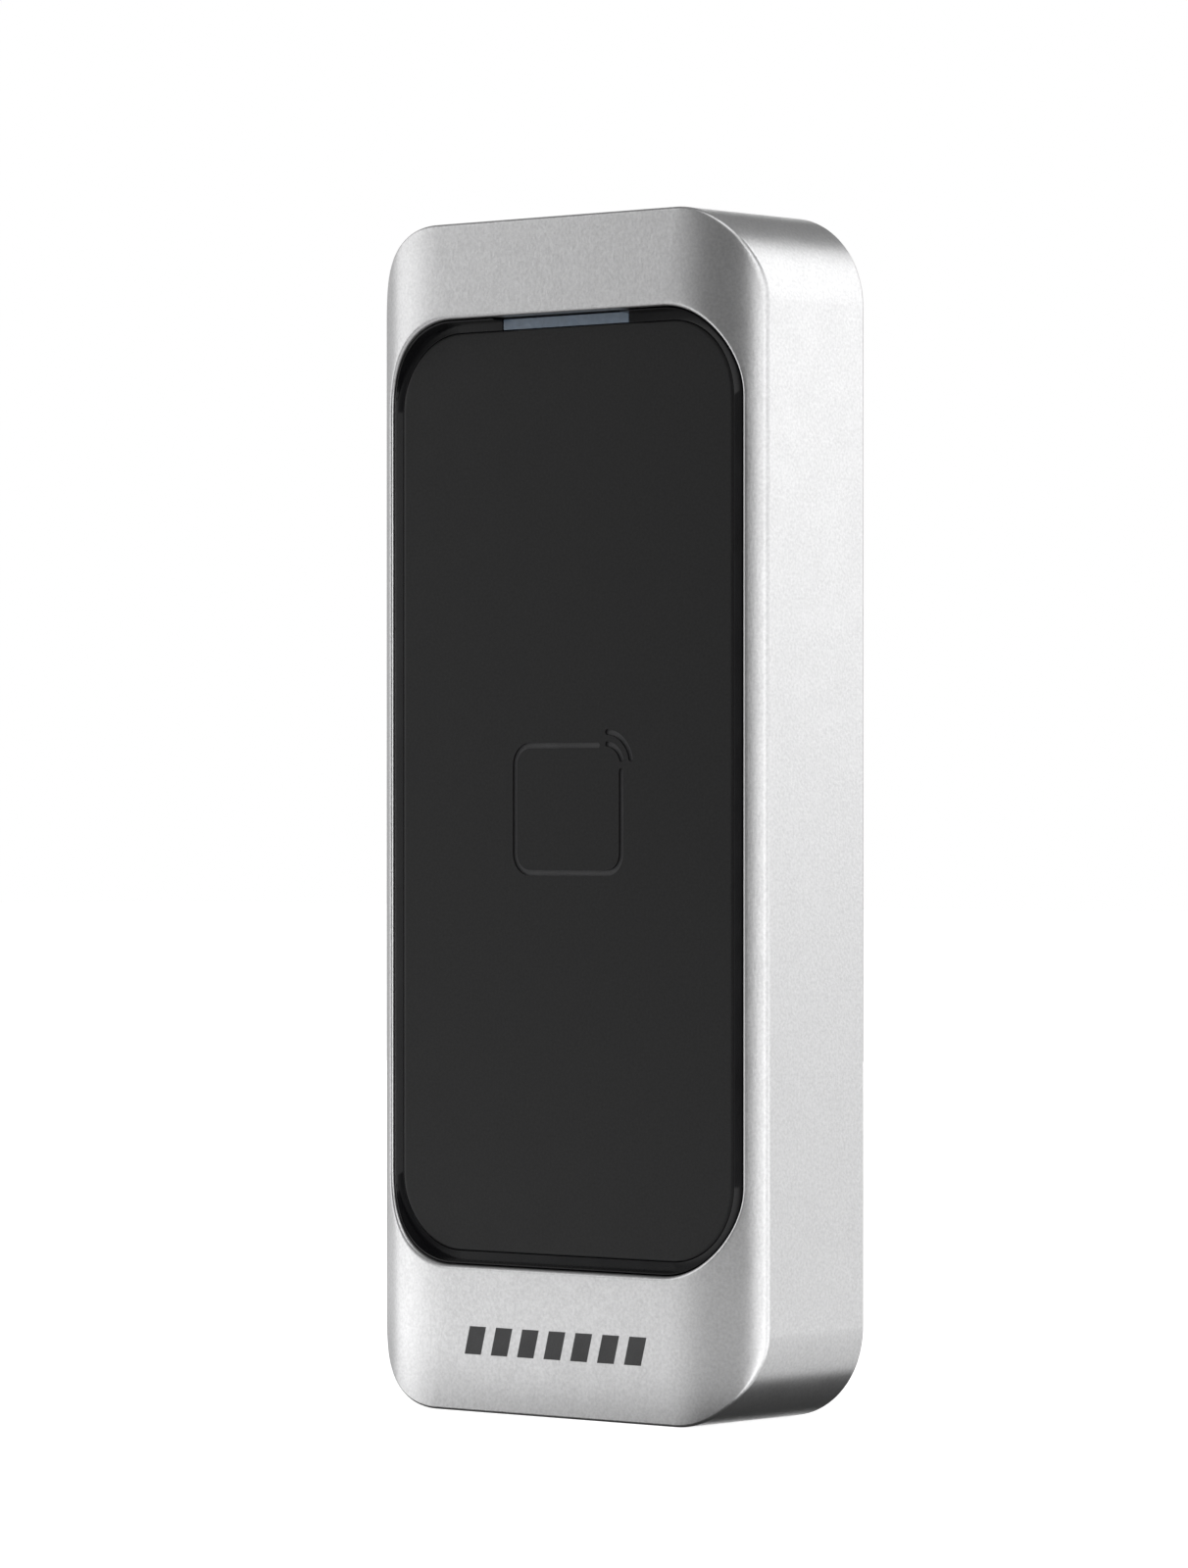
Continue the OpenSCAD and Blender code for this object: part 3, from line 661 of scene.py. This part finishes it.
def make_panel():
    """The flat panel, with the icon's lines cut into it as dull grooves."""
    width, height = PANEL_HIGH.x - PANEL_LOW.x, PANEL_HIGH.z - PANEL_LOW.z
    radius = WINDOW_R - RING_GAP - RING_W - PANEL_GAP
    middle = (PANEL_HIGH.z + PANEL_LOW.z) / 2

    def rim(grow, y):
        return flat_ring(outline(width, height, radius, middle, grow), y)

    rings = [rim(0, PANEL_HIGH.y)]
    for a in quarter(8):
        rings.append(
            rim(-PANEL_EDGE_W * (1 - math.cos(a)), PANEL_LOW.y + PANEL_EDGE_D * (1 - math.sin(a)))
        )
    piece = loft("window_panel_plate", rings)
    floor_y = PANEL_LOW.y + GROOVE_DEPTH
    cutters = [
        prism("stroke", stroke(line, ICON_LINE), "y", PANEL_LOW.y - KEEP_AWAY, floor_y)
        for line in icon_lines()
    ]
    combine(piece, "DIFFERENCE", cutters)
    smooth(piece, SHELL_SHARP)
    place(piece, "window_panel", MATERIALS["satin_black"])
    piece.data.materials.append(MATERIALS["groove_black"])
    for face in piece.data.polygons:
        if abs(face.center.y - floor_y) < SAME_PLANE and face.normal.y < -0.5:
            face.material_index = 1


def make_print():
    """Plain slanted blocks printed on the lower chin, in place of a maker's word."""
    low, high, slant = PRINT_LOW_Z, PRINT_HIGH_Z, PRINT_SLANT
    pitch = (PRINT_RIGHT - PRINT_LEFT - slant) / PRINT_COUNT
    width = pitch * PRINT_FILL
    points, faces = [], []
    for i in range(PRINT_COUNT):
        x = PRINT_LEFT + i * pitch + (pitch - width) / 2
        corners = [(x, low), (x + width, low), (x + width + slant, high), (x + slant, high)]
        base = len(points)
        points += [(cx, FRONT_Y - PRINT_PROUD, cz) for cx, cz in corners]
        points += [(cx, FRONT_Y + PRINT_SUNK, cz) for cx, cz in corners]
        faces.append(tuple(base + k for k in range(4)))
        faces.append(tuple(base + 4 + k for k in range(4)))
        for k in range(4):
            n = (k + 1) % 4
            faces.append((base + k, base + n, base + 4 + n, base + 4 + k))
    piece = add_mesh("printed_blocks", points, faces)
    piece.data.materials.append(MATERIALS["print_ink"])
    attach(piece, "reader")


# ---- the other pieces ----

# Width of the round edges given to a CAD node's copy, in millimetres
SOFT_EDGES = {
    "wall_plate": 0.14,
    "rear_cover": 0.2,
    "light_guide": 0.1,
    "lock_screw": 0.12,
    "cable_grommet": 0.18,
    "tamper_plunger": 0.1,
    "cover_screws": 0.1,
    "board_screws": 0.08,
    "dip_switch_body": 0.1,
    "dip_slider_1": 0.12,
    "dip_slider_2": 0.12,
    "dip_slider_3": 0.12,
    "dip_slider_4": 0.12,
    "main_board": 0.08,
    "buzzer": 0.25,
    "harness_socket": 0.12,
    "controller_chip": 0.12,
    "rf_chip": 0.1,
    "line_driver_chip": 0.12,
    "voltage_regulator": 0.1,
    "power_inductor": 0.3,
    "bulk_capacitors": 0.25,
    "surge_diodes": 0.15,
    "crystals": 0.15,
    "status_leds": 0.1,
    "tamper_switch_body": 0.12,
}


def slots():
    return {s["node"]: s["material_slot"] for s in frame["record"]["subparts"]}


def finish_rest(done):
    """Softens the small pieces' edges and gives every CAD node that stays its material."""
    for node, slot in slots().items():
        if node in done:
            continue
        if node in SOFT_EDGES:
            place(softened(node, SOFT_EDGES[node] * MM), node, MATERIALS[slot])
        else:
            mesh = frame["nodes"][node].data
            mesh.materials.clear()
            mesh.materials.append(MATERIALS[slot])


def make_spring():
    """Round wire wound into the tamper spring, built at one fixed length."""
    low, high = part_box("tamper_spring")
    turns, steps, sides = 4, 24, 10
    radius = (high.x - low.x) / 2 - WIRE_R
    cx, cz = (low.x + high.x) / 2, (low.z + high.z) / 2
    rings = []
    for i in range(turns * steps + 1):
        turn = 2 * math.pi * i / steps
        y = low.y + WIRE_R + (high.y - low.y - 2 * WIRE_R) * i / (turns * steps)
        ring = []
        for s in range(sides):
            a = 2 * math.pi * s / sides
            r, rise = radius + WIRE_R * math.cos(a), WIRE_R * math.sin(a)
            ring.append(
                Vector((cx + r * math.cos(turn), y + rise, cz + r * math.sin(turn)))
            )
        rings.append(ring)
    piece = loft("tamper_spring_coil", rings)
    smooth(piece)
    place(piece, "tamper_spring", MATERIALS["spring_steel"])
    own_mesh(piece)


# ---- camera, light and floor ----


def make_camera():
    """Level camera to the right of the front, with the case framed as seen from 0.7 m."""
    data = bpy.data.cameras.new("camera")
    camera = bpy.data.objects.new("camera", data)
    bpy.context.collection.objects.link(camera)
    azimuth, distance, sideways = 40.61, 0.703, 0.00208
    turn = math.radians(azimuth)
    right = Vector((math.cos(turn), math.sin(turn), 0))
    ahead = Vector((-math.sin(turn), math.cos(turn), 0))
    middle = Vector((0, FRONT_Y / 2, 0))
    camera.location = middle - distance * ahead - sideways * right
    camera.rotation_euler = (math.radians(90), 0, turn)
    data.sensor_width = 36
    data.lens = 153.6
    data.shift_y = 0.021
    data.clip_start = 0.01
    data.clip_end = 50
    bpy.context.scene.camera = camera


def area_lamp(name, size, radiance):
    """Rectangular light that the camera doesn't see."""
    data = bpy.data.lights.new(name, "AREA")
    data.shape = "RECTANGLE"
    data.size, data.size_y = size
    data.energy = radiance * 4 * size[0] * size[1]
    lamp = bpy.data.objects.new(name, data)
    bpy.context.collection.objects.link(lamp)
    lamp.visible_camera = False
    return lamp


def softbox(name, azimuth, elevation, distance, size, radiance):
    """Light that faces the object. Azimuth 0 is in front, 90 to the right."""
    lamp = area_lamp(name, size, radiance)
    a, e = math.radians(azimuth), math.radians(elevation)
    away = Vector((math.cos(e) * math.sin(a), -math.cos(e) * math.cos(a), math.sin(e)))
    lamp.location = away * distance
    lamp.rotation_euler = away.to_track_quat("Z", "Y").to_euler()


def table_glow(name, low, high, radiance):
    """Light that a bright table throws up, as a rectangle just above the floor."""
    lamp = area_lamp(name, (high[0] - low[0], high[1] - low[1]), radiance)
    middle = ((low[0] + high[0]) / 2, (low[1] + high[1]) / 2)
    lamp.location = (*middle, CASE_LOW.z + GLOW_HEIGHT)
    lamp.rotation_euler = (math.pi, 0, 0)


def make_lights():
    softbox("left_box", -100, 6, 1.0, (0.72, 1.2), 0.34)
    softbox("front_left_box", -61, 4, 1.2, (0.86, 1.3), 1.0)
    softbox("right_strip", 55, 0, 1.3, (0.8, 1.4), 1.32)
    softbox("right_side_box", 96, 0, 1.2, (0.9, 1.0), 0.9)
    softbox("right_rear_box", 139, 24, 1.0, (0.9, 1.0), 1.2)
    softbox("top_box", 35, 60, 1.0, (0.8, 0.7), 0.9)
    softbox("left_rear_box", -143, 0, 1.0, (0.3, 0.8), 1.4)
    table_glow("front_glow", (-0.14, -0.4), (0.08, -0.036), 0.52)
    table_glow("left_glow", (-0.35, -0.09), (-0.11, 0.1), 0.25)
    table_glow("rear_glow", (0.0275, -0.03), (0.4, 0.4), 0.55)


def make_world():
    """White behind the object, and a dim surround that is darker below in reflections."""
    world = bpy.data.worlds.new("surround")
    world.use_nodes = True
    nodes, links = world.node_tree.nodes, world.node_tree.links
    nodes.clear()
    where = nodes.new("ShaderNodeTexCoord")
    split = nodes.new("ShaderNodeSeparateXYZ")
    ramp = nodes.new("ShaderNodeMapRange")
    ramp.inputs["From Min"].default_value = -0.5
    ramp.inputs["From Max"].default_value = 0.6
    ramp.inputs["To Min"].default_value = 0.05
    ramp.inputs["To Max"].default_value = 0.3
    dim = nodes.new("ShaderNodeBackground")
    white = nodes.new("ShaderNodeBackground")
    white.inputs["Color"].default_value = (1, 1, 1, 1)
    white.inputs["Strength"].default_value = 1.0
    path = nodes.new("ShaderNodeLightPath")
    both = nodes.new("ShaderNodeMixShader")
    out = nodes.new("ShaderNodeOutputWorld")
    links.new(where.outputs["Generated"], split.inputs["Vector"])
    links.new(split.outputs["Z"], ramp.inputs["Value"])
    links.new(ramp.outputs["Result"], dim.inputs["Strength"])
    links.new(path.outputs["Is Camera Ray"], both.inputs["Fac"])
    links.new(dim.outputs["Background"], both.inputs[1])
    links.new(white.outputs["Background"], both.inputs[2])
    links.new(both.outputs["Shader"], out.inputs["Surface"])
    bpy.context.scene.world = world
    bpy.context.scene.view_settings.view_transform = "Standard"


def make_floor():
    """Plain white floor that the case stands on; it stays out of the reflections."""
    size, z = FLOOR_HALF, CASE_LOW.z - FLOOR_GAP
    floor = add_mesh(
        "floor",
        [(-size, -size, z), (size, -size, z), (size, size, z), (-size, size, z)],
        [(0, 1, 2, 3)],
    )
    material, shader = new_material("floor_white")
    grain = noise(material, 40, 2.0)
    colour = tint(material, grain, (0.86, 0.86, 0.86), (0.9, 0.9, 0.9))
    material.node_tree.links.new(colour, shader.inputs["Base Color"])
    shader.inputs["Roughness"].default_value = 0.9
    shader.inputs["Emission Color"].default_value = (1, 1, 1, 1)
    shader.inputs["Emission Strength"].default_value = 0.88
    floor.data.materials.append(material)
    floor.visible_glossy = False
    floor.visible_diffuse = False


make_camera()
make_lights()
make_world()
make_floor()
make_bezel()
make_housing()
make_panel()
make_print()
make_spring()
finish_rest({"front_bezel", "inner_housing", "window_panel", "tamper_spring"})
